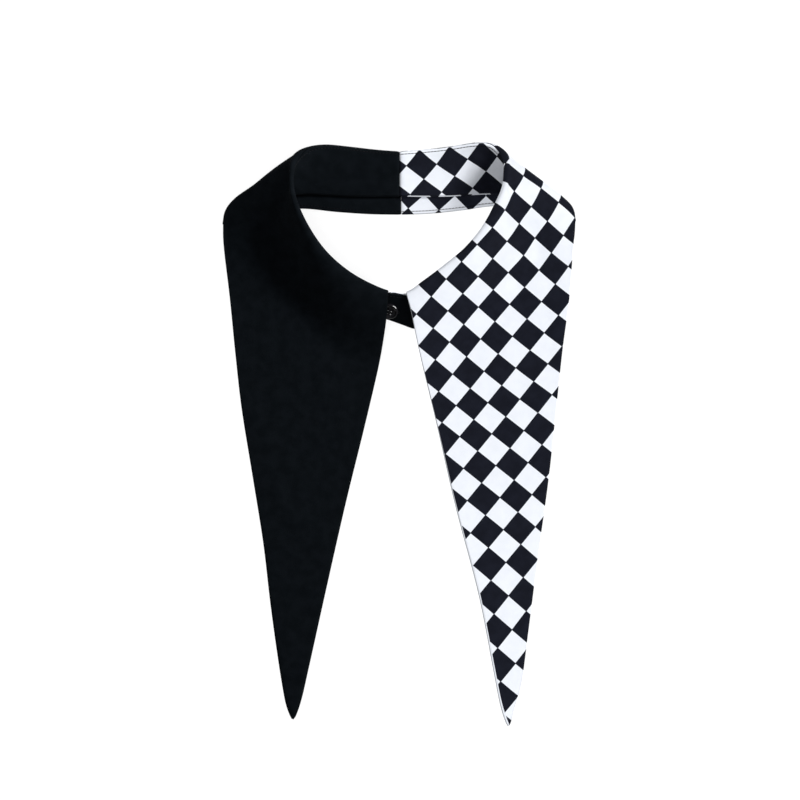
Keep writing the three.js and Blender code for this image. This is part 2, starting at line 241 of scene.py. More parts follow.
def backPoint(half, u, v):
    # the part of the fall that lies under the stand
    def bottom(a):
        return rollPoint(half, collar["foldRows"][0] * a, 1)

    def left(b):
        return mix(bottom(start), top(start), np.asarray(b)[..., None])

    top, start = half["backEdge"].pointAt, np.zeros(())
    point = patch(bottom, top, left, lambda b: foldPoint(half, b, 0), u, v)
    share = mix((1 - v) ** 2, foldShare(half, v, 0), easeOver(u, collar["backMeetsFold"]))
    point[..., 2] = mix(layOn, bottom(u)[..., 2], share)
    return point


def leafPoint(half, u, v):
    # the leaf leaves the roll level, comes down to the table and lies flat to its point
    def bottom(a):
        return rollPoint(half, mix(collar["foldRows"][1], collar["leafEndRow"], a), 1)

    point = patch(bottom, half["outer"].pointAt, lambda b: foldPoint(half, b, 1), half["inner"].pointAt, u, v)
    start = bottom(u)
    reach = np.hypot(point[..., 0] - start[..., 0], point[..., 1] - start[..., 1])
    rest = layOn + collar["foldLift"] * (1 - ease(u / collar["foldClearance"]))
    ramp = 1 - ease(reach / collar["rampLength"])
    share = mix(foldShare(half, v, 1), ramp, easeOver(u, collar["leafMeetsFold"]))
    point[..., 2] = mix(rest, start[..., 2], share)
    return point


def describeHalf(rows, outline, side):
    rows = np.array(rows)
    half = {"side": side, "lastRow": len(rows) - 1,
            "top": SmoothCurve(rows[:, :3]), "foot": SmoothCurve(rows[:, 3:])}
    half["fold"] = SmoothCurve([rollPoint(half, sum(collar["foldRows"]) / 2, 1)[:2]] + outline["fold"])
    half["backEdge"] = SmoothCurve(outline["back"] + [foldPoint(half, 1, 0)[:2]])
    half["outer"] = SmoothCurve([foldPoint(half, 1, 1)[:2]] + outline["outer"])
    half["inner"] = SmoothCurve([rollPoint(half, collar["leafEndRow"], 1)[:2]] + outline["inner"]
                                + outline["outer"][-1:])
    return half


blackHalf = describeHalf(blackStand, blackOutline, -1)
checkHalf = describeHalf(checkStand, checkOutline, 1)


def seamTurn(row):
    # at the back the stand's cloth is rolled over the top, towards the front the seam lies inside the neck
    return collar["seamTurn"] * (1 - easeOver(row, collar["seamGoesIn"]))


fallGridSize = {"back": 30, "fold": 8, "leaf": 58, "roll": 7, "across": 60, "ramp": 34}
standGridSize = {"perRow": 5, "across": 24}


def fallGrid(half):
    back, fold, leaf, roll, across, ramp = fallGridSize.values()
    evenly = np.linspace(0, 1, across + 1)[None, :]
    backU = np.linspace(0, 1, back, endpoint=False)[:, None]
    tips = np.linspace(0, 1, fold + 1)[:, None]
    leafU = np.linspace(0, 1, leaf + 1)[1:, None]
    # lines of the leaf are closer together where it comes down to the table
    reach = np.linalg.norm(leafPoint(half, leafU, 0) - leafPoint(half, leafU, 1), axis=-1)
    rampShare = np.minimum(ramp / across, collar["rampLength"] * collar["rampMargin"] / reach)
    step = np.arange(across + 1)[None, :]
    beyond = mix(rampShare, 1, (step - ramp) / (across - ramp))
    spread = np.clip(np.where(step < ramp, rampShare * step / ramp, beyond), 0, 1)
    flat = np.concatenate([backPoint(half, backU, evenly), foldPoint(half, evenly, tips),
                           leafPoint(half, leafU, spread)])
    fromRow, toRow = collar["foldRows"]
    rows = np.concatenate([fromRow * backU, mix(fromRow, toRow, tips),
                           mix(toRow, collar["leafEndRow"], leafU)])
    firstTurn = seamTurn(rows) + collar["seamGroove"] / np.prod(rollSize(half, rows), axis=0)
    turns = mix(firstTurn, 1, np.linspace(0, 1, roll, endpoint=False)[None, :])
    return np.concatenate([rollPoint(half, rows, turns), flat], axis=1)


def flatPart(half, row):
    # the ends of the stand's flat part, below the roll and at the foot
    top, down, _ = standFrame(half, row)
    return top - down * collar["seamGap"] / 2, half["foot"].point(row / half["lastRow"])


def standWidths(half, row):
    # how much of the stand's cloth is rolled over the top, and how much is flat
    start, foot = flatPart(half, row)
    return seamTurn(row) * np.prod(rollSize(half, row), axis=0), np.linalg.norm(foot - start, axis=-1)


def standPoint(half, row, distance):
    # distance is over the cloth, from its upper edge
    row, distance = np.broadcast_arrays(row, distance)
    rolled, flat = standWidths(half, row)
    start, foot = flatPart(half, row)
    onRoll = rollPoint(half, row, seamTurn(row) * np.clip(1 - distance / np.maximum(rolled, 1e-6), 0, 1))
    onFlat = mix(start, foot, ((distance - rolled) / flat)[..., None])
    return np.where((distance < rolled)[..., None], onRoll, onFlat)


def standGrid(half):
    rows = np.linspace(0, half["lastRow"], half["lastRow"] * standGridSize["perRow"] + 1)[:, None]
    share = np.linspace(0, 1, standGridSize["across"] + 1)[None, :]
    return standPoint(half, rows, share * sum(standWidths(half, rows)))


print("half curves ready")


sheet = {
    "mapUnit": 100,  # millimetres of cloth to one unit of the cloth map
    "stretchSteps": 60,
    "doubled": (5.5, 2),  # how far in from the sewn edges the cloth is doubled, and how far that fades
    "plainShare": 0.86,  # thickness past it, as a share of that at the edges
    # along the leaf's inner edge, y and how much of the under side shows, and y and how far its painted shade
    # reaches
    "edgeShows": [(-185, 2.6), (-130, 2), (-40, 0.9), (10, 0.35), (60, 0.12)],
    "edgeShade": [(-185, 0.8), (-130, 1), (-40, 1.1), (10, 0.5), (60, 0.3)],
    "outerShows": 0.9, "footShows": 0.85,
    "backShift": 1.2,  # how far the two halves' seam is pushed over on the strip under the stand
    "backShiftRise": 0.6, "backShiftReach": 8, "backLap": 0.15,
    "lying": 0.3,  # a leaf this near to the table's height lies on it
    "unmarked": 9.0,  # far from every seam and edge that is marked
    "waveFade": (5, 6),  # how fast wrinkles fade towards the stand's top and its foot
}
# rows of stitches: how far from an edge and how deep they lie, where they run, how they are followed
stitch = {"edge": 1.9, "edgeBack": 2.3, "under": 2.0, "sunk": 0.03, "underLift": 0.15, "innerFromRow": 0.12,
          "outerFromRow": 6.5, "endRows": 0.15, "underSpan": (0.02, 0.62), "points": 260, "step": 0.01,
          "aside": 0.05}


def stitchDistance(row):
    # from the stand's upper edge, over the cloth
    return mix(stitch["edge"], stitch["edgeBack"], seamTurn(row) / collar["seamTurn"])


def closeBack(grid, half, shift):
    # the halves are sewn together at the centre back, so their edges lap a little
    near = 1 - ease(grid[..., 0] / sheet["backShiftReach"])
    grid[..., 0] += (shift * half["side"] - grid[:1, :, 0] - sheet["backLap"]) * near
    return grid


def inFrame(points, half):
    return (points * [half["side"], 1, 1] + centring) * mm


def addObject(data):
    thing = bpy.data.objects.new(data.name, data)
    bpy.context.scene.collection.objects.link(thing)
    return thing


def onlySelect(thing):
    for other in bpy.context.selected_objects:
        other.select_set(False)
    thing.select_set(True)
    bpy.context.view_layer.objects.active = thing


def bakeModifiers(thing):
    # a plain mesh of what the modifiers make, and no modifier left
    shape = thing.evaluated_get(bpy.context.evaluated_depsgraph_get())
    made = bpy.data.meshes.new_from_object(shape)
    made.name = thing.name
    thing.modifiers.clear()
    thing.data = made
    return thing


def gridObject(name, grid, half):
    lines, across = grid.shape[:2]
    index = np.arange(lines * across).reshape(lines, across)
    corners = [index[:-1, :-1], index[1:, :-1], index[1:, 1:], index[:-1, 1:]]
    if half["side"] < 0:
        corners.reverse()
    mesh = bpy.data.meshes.new(name)
    faces = np.stack(corners, -1).reshape(-1, 4)
    mesh.from_pydata(inFrame(grid.reshape(-1, 3), half).tolist(), [], faces.tolist())
    mesh.uv_layers.new(name="clothMap")
    return addObject(mesh)


def cornerPoints(mesh):
    owner = np.zeros(len(mesh.loops), int)
    mesh.loops.foreach_get("vertex_index", owner)
    return owner


def flattenCloth(thing, grid, half, anchor):
    # the cloth map is the piece as it was cut, flattened with the least stretch, then turned and scaled
    # so that the anchored part keeps its place on the table, in millimetres
    onlySelect(thing)
    bpy.ops.object.mode_set(mode="EDIT")
    bpy.ops.mesh.select_all(action="SELECT")
    bpy.ops.uv.unwrap(method="MINIMUM_STRETCH", iterations=sheet["stretchSteps"], fill_holes=False,
                      correct_aspect=False, margin=0)
    bpy.ops.object.mode_set(mode="OBJECT")
    mesh = thing.data
    flat = np.zeros(len(mesh.loops) * 2)
    mesh.uv_layers[0].data.foreach_get("uv", flat)
    owner = cornerPoints(mesh)
    cut = np.zeros((len(mesh.vertices), 2))
    cut[owner] = flat.reshape(-1, 2)
    plan = grid.reshape(-1, 3)[:, :2] * [half["side"], 1]
    kept = anchor.reshape(-1)
    cutMiddle, planMiddle = cut[kept].mean(0), plan[kept].mean(0)
    a, b = cut[kept] - cutMiddle, plan[kept] - planMiddle
    turnA, stretch, turnB = np.linalg.svd(a.T @ b)
    cut = (cut - cutMiddle) @ (turnA @ turnB) * (stretch.sum() / (a ** 2).sum()) + planMiddle
    mesh.uv_layers[0].data.foreach_set("uv", (cut[owner] / sheet["mapUnit"]).ravel())
    return cut.reshape(*grid.shape[:2], 2)


def thickenCloth(thing, thick, share, materials):
    for material in materials:
        thing.data.materials.append(material)
    group = thing.vertex_groups.new(name="doubled")
    for index, weight in enumerate(share.reshape(-1)):
        group.add([index], float(weight), "REPLACE")
    setAll(thing.modifiers.new("wall", "SOLIDIFY"), thickness=thick * mm, offset=0, vertex_group=group.name,
           material_offset=1, material_offset_rim=1)
    setAll(thing.modifiers.new("smooth", "SUBSURF"), levels=1, render_levels=1)
    bakeModifiers(thing)
    thing.data.shade_smooth()
    return thing


def distanceTo(points, line):
    # nearest distance on the table from each point to a line of points
    gaps = points[..., None, :2] - line[:, :2]
    return np.sqrt((gaps ** 2).sum(-1)).min(-1)


def turnedBy(gap, degrees):
    turn = math.radians(degrees)
    return gap @ [math.cos(turn), math.sin(turn)], gap @ [-math.sin(turn), math.cos(turn)]


def addValues(thing, name, values):
    layer = thing.data.attributes.new(name, "FLOAT", "POINT")
    layer.data.foreach_set("value", values.reshape(-1).astype(float))


# the printed checks

# side of a check, turn in degrees, x and y of a corner, and 1 or -1 for the face it is on
checkPrint = {
    "leaf": (14.83, -38.9, 41.6, 70.5, 1),
    "underLeaf": (13.9, -56.2, 133.6, 244.9, -1),
    "standInner": (13.95, -37.5, 35.5, 166.6, 1),
    "standOuter": (14.4, -45, 2.3, 150.7, 1),
}
# how the steamed cloth pulls its print: x and y on the cloth map, the pull, its reach
leafPulls = [
    (120, 120, 1.9, 0.7, 28), (25, 125, 0.8, -0.9, 28), (80, -150, -1.3, 2.5, 28),
    (75, -60, -1.2, -0.7, 28), (70, 40, 0.9, 0.7, 28), (90, 115, -3.3, 1.7, 28),
    (30, -10, 0.4, -1.1, 28), (45, 150, 0.1, -3.3, 28), (120, 155, 2.4, 3.4, 28),
    (15, 90, -0.6, -1.1, 28), (110, 75, 1.1, 1.1, 28), (60, 190, -1.8, -0.5, 28),
    (115, 20, 0.1, -1.3, 28), (40, 100, 1.2, -0.9, 28), (69, -192, 0.9, 2.6, 23),
    (76.7, 182.8, -1.5, 1.2, 6), (68.5, 168, 0, -2.9, 7), (84, 169, 0, 1.3, 7), (81, 115, -1.3, 0, 9),
    (57, 117, 1, -0.5, 9), (45, 101, 0.3, -0.3, 14),
]
standPulls = [
    (27, 187, 1, 0.5, 12), (0, 157, 0.7, -1.7, 12), (57, 163, -1.2, -0.7, 12), (27, 175, -0.2, 1.2, 12),
    (27, 151, -0.3, -0.6, 12), (187.5, 147.7, 4.3, 5.6, 4), (66.5, 156.5, -2.2, 1.7, 6),
]


def pulled(cut, pulls):
    pulls = np.array(pulls, float)
    gaps = ((cut[..., None, :] - pulls[:, :2]) ** 2).sum(-1)
    return cut + np.exp(-gaps / (2 * pulls[:, 4] ** 2)) @ pulls[:, 2:4]


def addMap(thing, name, cut, layout):
    # where the print is on the cloth: one unit to a check, whole numbers on the lines between them
    side, turn, x, y, face = checkPrint[layout]
    across, along = turnedBy(cut - [x, y], turn)
    values = np.stack([across, along * face], -1) / side
    layer = thing.data.uv_layers.new(name=name)
    layer.data.foreach_set("uv", values.reshape(-1, 2)[cornerPoints(thing.data)].ravel())


# soft waves of a leaf lying on the table: x, y, direction in degrees, length, width, height
blackWaves = [
    (-66, -58, -48, 26, 5, 0.55), (-78, -42, -52, 20, 4.5, 0.45), (-60, -98, -40, 22, 5.5, 0.4),
    (-92, 4, -60, 24, 6, 0.35), (-46, 24, -62, 26, 6, 0.4), (-72, -142, -70, 20, 5, 0.35),
]
checkWaves = [
    (70, -30, -72, 30, 6, 0.35), (92, 12, -80, 26, 6, 0.3), (66, -104, -75, 26, 5, 0.35),
]
# wrinkles across the stand
standWaves = {
    "black": [(10, 166, 82, 12, 1.6, 0.25), (18, 168, 98, 12, 1.8, 0.3), (34, 166, 65, 12, 1.8, 0.2),
              (52, 168, 84, 14, 2.4, 0.3)],
    "check": [(14, 172, 84, 9, 1.8, 0.25), (21, 174, 96, 8, 1.6, 0.2), (31, 177, 90, 9, 2, 0.18),
              (49, 168, 84, 12, 1.8, 0.4), (55, 167, 86, 12, 1.7, 0.35)],
}


def waveLift(plan, waves):
    lift = np.zeros(plan.shape[:-1])
    for x, y, direction, length, width, height in waves:
        along, across = turnedBy(plan - [x, y], direction)
        lift += height * np.exp(-(along / length) ** 2 - (across / width) ** 2)
    return lift


def addWaves(thing, grid, half, lift):
    grid[..., 2] += lift
    thing.data.vertices.foreach_set("co", inFrame(grid.reshape(-1, 3), half).ravel())


def makeFall(name, half, waves, materials):
    grid = fallGrid(half)
    back, fold, _, roll, across, _ = fallGridSize.values()
    # the lines of the grid from which the leaf lies flat, and from which its marks begin
    leafFrom, innerFrom, outerFrom = back + fold + 6, back + fold + 2, back + 4
    outerAcross, stripAcross, rollAcross = roll + 20, roll + 12, roll + 4
    rise = ease(np.linspace(0, 1, across + 1) / sheet["backShiftRise"])
    grid = closeBack(grid, half, np.concatenate([np.zeros(roll), rise]) * sheet["backShift"])
    thing = gridObject(name, grid, half)
    leaf = np.zeros(grid.shape[:2], bool)
    leaf[leafFrom:] = True
    cut = flattenCloth(thing, grid, half, leaf & (grid[..., 2] < layOn + sheet["lying"]))
    addMap(thing, "checkMap", pulled(cut, leafPulls), "leaf")
    addMap(thing, "underMap", cut, "underLeaf")
    innerEdge, outerEdge = grid[-1], grid[:, -1]
    fromInner = distanceTo(grid, innerEdge)
    addValues(thing, "fromEdge", fromInner - np.interp(grid[..., 1], *zip(*sheet["edgeShows"])))
    fromOuter, fromShadedLine = np.full((2, *grid.shape[:2]), sheet["unmarked"])
    nearOuter = distanceTo(grid[outerFrom:, outerAcross:], outerEdge[outerFrom:])
    fromOuter[outerFrom:, outerAcross:] = nearOuter - sheet["outerShows"]
    addValues(thing, "fromOuter", fromOuter)
    # across the back a line is pressed under the stitches, and shade is painted along it and along the edge
    # itself
    fromRim = distanceTo(grid[:back + 1, stripAcross:], outerEdge[:back + 1])
    fromShadedLine[:back + 1, stripAcross:] = np.where(
        fromRim < stitch["under"] / 2, fromRim / 2, stitch["under"] - fromRim)
    # along the leaf's inner edge its side wall gets painted shade, as wide as the table says
    shade = np.interp(grid[innerFrom:, :, 1], *zip(*sheet["edgeShade"])) / seamGrooveAndShade["halfWidth"]
    fromShadedLine[innerFrom:] = fromInner[innerFrom:] / shade
    addValues(thing, "fromShadedLine", fromShadedLine)
    fromSewn = distanceTo(grid, np.concatenate([outerEdge, innerEdge]))
    share = mix(sheet["plainShare"], 1, 1 - easeOver(fromSewn, sheet["doubled"]))
    share[:, :rollAcross] = 1
    addWaves(thing, grid, half, waveLift(grid[..., :2] * [half["side"], 1], waves) * leaf)
    return thickenCloth(thing, collar["fallThick"], share, materials)


def makeStand(name, half, waves, materials):
    grid = closeBack(standGrid(half), half, 0)
    thing = gridObject(name, grid, half)
    # the first rows, below the roll, keep their place on the cloth map
    rowsKept, rollAcross = 3 * standGridSize["perRow"], 4
    anchor = np.zeros(grid.shape[:2], bool)
    anchor[:rowsKept, rollAcross:] = True
    cut = flattenCloth(thing, grid, half, anchor)
    addMap(thing, "checkMap", cut, "standOuter")
    addMap(thing, "underMap", pulled(cut, standPulls), "standInner")
    rows = np.linspace(0, half["lastRow"], len(grid))[:, None]
    across = np.linspace(0, 1, grid.shape[1])
    fromTop = across[None, :] * sum(standWidths(half, rows))
    # the stand's stitch line gets a groove and painted shade along it
    addValues(thing, "fromShadedLine", fromTop - stitchDistance(rows))
    addValues(thing, "fromEdge", fromTop[:, -1:] - fromTop - sheet["footShows"])
    topFade, footFade = sheet["waveFade"]
    lift = waveLift(grid[..., :2], waves) * ease(across * topFade) * ease((1 - across) * footFade)
    addWaves(thing, grid, half, lift)
    return thickenCloth(thing, collar["standThick"], np.ones(grid.shape[:2]), materials)


# finishes, lengths in millimetres

weave = {"pitch": 0.32, "depth": 0.035, "strength": 0.6}
clothNoise = {"worn": (14, 5), "creases": (9, 4), "printEdge": (160, 2)}  # scale on the cloth map, and detail
clothLook = {"worn": (0.3, 0.7), "roughSpread": 0.06, "sheenRough": 0.45, "creaseStrength": 0.5}
blackLook = {"dark": (0.0014, 0.0024, 0.0035, 1), "light": (0.0028, 0.0041, 0.0057, 1), "rough": 0.8,
             "shine": 0.03, "sheen": 0.012, "creased": 0.3, "edgeSoft": 0.2}
checkLook = {"dark": (0.0050, 0.0060, 0.0112, 1), "darkWorn": (0.0078, 0.0092, 0.0162, 1),
             "white": (0.79, 0.82, 0.88, 1), "whiteWorn": (0.76, 0.79, 0.85, 1), "inset": 0.22, "soft": 0.12,
             "uneven": 0.25, "rough": 0.85, "shine": 0.08, "sheen": 0.02, "creased": 0.15, "edgeSoft": 0.15}
# pressed lines and shaded edges: half width, groove depth, how dark the painted shade makes the colour, and
# the bump where the other side shows
seamGrooveAndShade = {"halfWidth": 0.5, "depth": 0.22, "dark": 0.45, "edgeDepth": 0.35}
plasticLook = {"dark": (0.0005, 0.0005, 0.0006, 1), "light": (0.001, 0.001, 0.0012, 1), "rough": 0.12,
               "shine": 0.2, "grain": 900, "bump": 0.004}
threadLook = {"dark": (0.003, 0.003, 0.004, 1), "light": (0.008, 0.008, 0.011, 1), "rough": 0.6,
              "shine": 0.1, "grain": 4000, "bump": 0.04}


class NodeTree:
    # short ways to make and join nodes
    def __init__(self, name, kind=None):
        if kind:
            self.tree = bpy.data.node_groups.new(name, kind)
            return
        self.material = bpy.data.materials.new(name)
        self.material.use_nodes = True
        self.tree = self.material.node_tree

    def feed(self, node, inputs):
        for key, value in inputs.items():
            if isinstance(value, bpy.types.NodeSocket):
                self.tree.links.new(value, node.inputs[key])
            else:
                node.inputs[key].default_value = value

    def add(self, kind, inputs=None, **settings):
        node = setAll(self.tree.nodes.new(kind), **settings)
        self.feed(node, inputs or {})
        return node

    def finish(self, inputs):
        self.feed(self.tree.nodes["Principled BSDF"], inputs)
        return self.material

    def out(self, kind, inputs=None, **settings):
        return self.add(kind, inputs, **settings).outputs[0]

    def math(self, operation, *values):
        return self.out("ShaderNodeMath", dict(enumerate(values)), operation=operation)

    def blend(self, share, first, second, kind="MIX"):
        inputs = {0: share, 6: first, 7: second}
        return self.add("ShaderNodeMix", inputs, data_type="RGBA", blend_type=kind).outputs[2]

    def ramp(self, value, low, high):
        inputs = {"Value": value, "From Min": low, "From Max": high}
        return self.out("ShaderNodeMapRange", inputs, interpolation_type="SMOOTHSTEP")

    def spread(self, value, low, high):
        return self.out("ShaderNodeMapRange", {"Value": value, "To Min": low, "To Max": high})

    def bump(self, strength, depth, height, below=None):
        inputs = {"Strength": strength, "Distance": depth * mm, "Height": height}
        return self.out("ShaderNodeBump", {**inputs, "Normal": below} if below else inputs)

    def map(self, name):
        return self.out("ShaderNodeUVMap", uv_map=name)

    def noise(self, place, scale, detail):
        return self.out("ShaderNodeTexNoise", {"Vector": place, "Scale": scale, "Detail": detail})

    def grain(self, scale):
        return self.noise(self.add("ShaderNodeTexCoord").outputs["Object"], scale, 3)

    def distance(self, name):
        return self.add("ShaderNodeAttribute", attribute_name=name).outputs["Fac"]

    def past(self, name, soft):
        # 0 before the named distance is nothing, 1 past it
        return self.ramp(self.distance(name), -soft, soft)


def weaveHeight(tree, cloth):
    # warp over weft, from two sets of threads crossing on the cloth map
    turns = 2 * math.pi * sheet["mapUnit"] / weave["pitch"]
    parts = tree.add("ShaderNodeSeparateXYZ", {0: cloth}).outputs[:2]
    return tree.math("MULTIPLY", *(tree.math("SINE", tree.math("MULTIPLY", part, turns)) for part in parts))


def finishCloth(tree, cloth, colour, look, worn, shown):
    # 0 on the lines that are pressed in and on the edges in shade, 1 away from them: there the colour is
    # darkened as painted shade, and a groove is bumped in
    grooveAndShade = tree.ramp(tree.math("ABSOLUTE", tree.distance("fromShadedLine")), 0, seamGrooveAndShade["halfWidth"])
    paintedShade = tree.blend(1, colour, (seamGrooveAndShade["dark"],) * 3 + (1,), "MULTIPLY")
    normal = tree.bump(weave["strength"], weave["depth"], weaveHeight(tree, cloth))
    creases = tree.noise(cloth, *clothNoise["creases"])
    normal = tree.bump(clothLook["creaseStrength"], look["creased"], creases, normal)
    normal = tree.bump(1, seamGrooveAndShade["depth"], grooveAndShade, normal)
    rough, spread = look["rough"], clothLook["roughSpread"]
    return tree.finish({
        "Base Color": tree.blend(grooveAndShade, paintedShade, colour),
        "Roughness": tree.spread(worn, rough - spread, rough + spread), "Specular IOR Level": look["shine"],
        "Sheen Weight": look["sheen"], "Sheen Roughness": clothLook["sheenRough"],
        "Normal": tree.bump(1, seamGrooveAndShade["edgeDepth"], shown, normal)})


def blackPoplin():
    tree = NodeTree("black_poplin")
    cloth = tree.map("clothMap")
    worn = tree.noise(cloth, *clothNoise["worn"])
    colour = tree.blend(tree.ramp(worn, *clothLook["worn"]), blackLook["dark"], blackLook["light"])
    return finishCloth(tree, cloth, colour, blackLook, worn, tree.past("fromEdge", blackLook["edgeSoft"]))


def whiteChecks(tree, cloth, mapName):
    # 1 on the white checks, 0 on the dark ones, from the check coordinates
    calc, inset, soft = tree.math, checkLook["inset"], checkLook["soft"]
    waves = []
    for output in tree.add("ShaderNodeSeparateXYZ", {0: tree.map(mapName)}).outputs[:2]:
        # zero on the lines, above it in even checks and below it in odd ones
        waves.append(calc("SUBTRACT", calc("PINGPONG", calc("ADD", output, 0.5), 1), 0.5))
    nearer = calc("MINIMUM", *(calc("ABSOLUTE", wave) for wave in waves))
    signed = calc("MULTIPLY", nearer, calc("SIGN", calc("MULTIPLY", *waves)))
    uneven = calc("SUBTRACT", tree.noise(cloth, *clothNoise["printEdge"]), 0.5)
    inside = calc("ADD", calc("MULTIPLY", signed, checkPrint["leaf"][0]),
                  calc("MULTIPLY", uneven, checkLook["uneven"]))
    return tree.ramp(inside, inset - soft, inset + soft)


def checkedPoplin(name, mapName, borders):
    # a border is where the other side's cloth shows: the distance past it, and its map if it isn't white
    tree = NodeTree(name)
    cloth = tree.map("clothMap")
    white = whiteChecks(tree, cloth, mapName)
    for distance, otherMap in borders:
        shown = tree.past(distance, checkLook["edgeSoft"])
        beyond = whiteChecks(tree, cloth, otherMap) if otherMap else 1
        white = tree.out("ShaderNodeMix", {0: shown, 2: beyond, 3: white}, data_type="FLOAT")
    worn = tree.noise(cloth, *clothNoise["worn"])
    share = tree.ramp(worn, *clothLook["worn"])
    colours = (tree.blend(share, checkLook[name], checkLook[name + "Worn"]) for name in ("dark", "white"))
    return finishCloth(tree, cloth, tree.blend(white, *colours), checkLook, worn, shown)


def plainFinish(name, look):
    # for small things: a colour between two, by noise in the piece's own coordinates
    least, most, bumpStrength = look["rough"] * 0.8, look["rough"] * 1.2, 0.4
    tree = NodeTree(name)
    grainy = tree.grain(look["grain"])
    return tree.finish({
        "Base Color": tree.blend(grainy, look["dark"], look["light"]),
        "Roughness": tree.spread(grainy, least, most), "Specular IOR Level": look["shine"],
        "Normal": tree.bump(bumpStrength, look["bump"], grainy)})


blackCloth = blackPoplin()
checkTop = checkedPoplin("checked_poplin", "checkMap", [("fromEdge", None)])
checkUnder = checkedPoplin("checked_poplin_under", "underMap",
                           [("fromOuter", "checkMap"), ("fromEdge", None)])
checkOuter = checkedPoplin("checked_poplin_stand", "checkMap", [("fromEdge", "checkMap")])
checkInner = checkedPoplin("checked_poplin_neck", "underMap", [("fromEdge", "checkMap")])
buttonPlastic = plainFinish("button_plastic", plasticLook)
blackThread = plainFinish("black_thread", threadLook)
print("finishes made")

fallBlack = makeFall("fall_black_cloth", blackHalf, blackWaves, [blackCloth, blackCloth])
fallCheck = makeFall("fall_check_cloth", checkHalf, checkWaves, [checkTop, checkUnder])
standBlack = makeStand("stand_black_cloth", blackHalf, standWaves["black"], [blackCloth, blackCloth])
standCheck = makeStand("stand_check_cloth", checkHalf, standWaves["check"], [checkOuter, checkInner])
print("cloth made")


# stitches, laid along lines on the cloth: lengths in millimetres

seamStitch = {"Spacing": 2.1, "Length": 1.7, "Radius": 0.2, "Turn": 0.0, "Uneven": 0.08, "Seed": 3}
stitchSizes = {
    "stand": seamStitch,
    "under": {**seamStitch, "Radius": 0.16, "Seed": 5},
    "hole": {"Spacing": 0.36, "Length": 0.95, "Radius": 0.17, "Turn": math.pi / 2, "Uneven": 0.12, "Seed": 9},
}
bead = {"Segments": 8, "Rings": 5, "Radius": 1}


def stitchTree():
    group = NodeTree("stitchRow", "GeometryNodeTree")
    add, out = group.add, group.out
    sockets = [(name, "Float") for name in ("Spacing", "Length", "Radius", "Turn", "Uneven")]
    for name, kind in [("Geometry", "Geometry"), *sockets, ("Seed", "Int"), ("Thread", "Material")]:
        group.tree.interface.new_socket(name, in_out="INPUT", socket_type="NodeSocket" + kind)
    group.tree.interface.new_socket("Geometry", in_out="OUTPUT", socket_type="NodeSocketGeometry")
    given = add("NodeGroupInput").outputs
    line = out("GeometryNodeMeshToCurve", {"Mesh": given["Geometry"]})
    spacing = {"Curve": line, "Length": given["Spacing"]}
    points = add("GeometryNodeCurveToPoints", spacing, mode="LENGTH").outputs
    outward = out("GeometryNodeInputNamedAttribute", {"Name": "outward"}, data_type="FLOAT_VECTOR")
    facing = out("FunctionNodeAxesToRotation", {"Primary Axis": points["Tangent"], "Secondary Axis": outward},
                 primary_axis="X", secondary_axis="Z")
    least = group.math("MULTIPLY", given["Uneven"], -1)
    chance = add("FunctionNodeRandomValue", {2: least, 3: given["Uneven"], "Seed": given["Seed"]},
                 data_type="FLOAT").outputs[1]
    angle = group.math("ADD", given["Turn"], chance)
    twist = out("FunctionNodeAxisAngleToRotation", {"Axis": (0, 0, 1), "Angle": angle})
    turned = {"Rotation": facing, "Rotate By": twist}
    half = group.math("MULTIPLY", given["Length"], 0.5)
    laid = out("GeometryNodeInstanceOnPoints", {
        "Points": points["Points"], "Instance": out("GeometryNodeMeshUVSphere", bead),
        "Rotation": out("FunctionNodeRotateRotation", turned, rotation_space="LOCAL"),
        "Scale": out("ShaderNodeCombineXYZ", {0: half, 1: given["Radius"], 2: given["Radius"]})})
    smooth = out("GeometryNodeSetShadeSmooth", {0: out("GeometryNodeRealizeInstances", {0: laid})})
    add("NodeGroupOutput", {0: out("GeometryNodeSetMaterial", {0: smooth, "Material": given["Thread"]})})
    return group.tree


stitchRow = stitchTree()


def layStitches(name, lines, size):
    # a line is its points and the way out of the cloth at each, in metres
    mesh = bpy.data.meshes.new(name)
    points, outward = (np.concatenate(part) for part in zip(*lines))
    edges, first = [], 0
    for line, _ in lines:
        edges += [(i, i + 1) for i in range(first, first + len(line) - 1)]
        first += len(line)
    mesh.from_pydata(points.tolist(), edges, [])
    mesh.attributes.new("outward", "FLOAT_VECTOR", "POINT").data.foreach_set("vector", outward.ravel())
    thing = addObject(mesh)
    laid = thing.modifiers.new("stitches", "NODES")
    laid.node_group = stitchRow
    values = {**size, "Thread": blackThread}
    values.update({key: size[key] * mm for key in ("Spacing", "Length", "Radius")})
    for socket in stitchRow.interface.items_tree:
        if socket.name in values:
            laid[socket.identifier] = values[socket.name]
    return bakeModifiers(thing)


def lineOnCloth(half, place, first, last, side, thick):
    # points along a line of the cloth's middle surface, moved out to one face
    t = np.linspace(first, last, stitch["points"])
    step, aside = stitch["step"], stitch["aside"]
    ahead = unit(place(t + step) - place(t - step))
    across = unit(place(t, aside) - place(t, -aside))
    out = unit(np.cross(ahead, across)) * side
    points = place(t) + out * (thick / 2 - stitch["sunk"])
    return inFrame(points, half), out * [half["side"], 1, 1]


def standLine(half, side):
    def place(row, shift=0):
        return standPoint(half, row, stitchDistance(row) + shift)
    first = stitch["innerFromRow" if side < 0 else "outerFromRow"]
    last = half["lastRow"] - stitch["endRows"]
    return lineOnCloth(half, place, first, last, side, collar["standThick"])


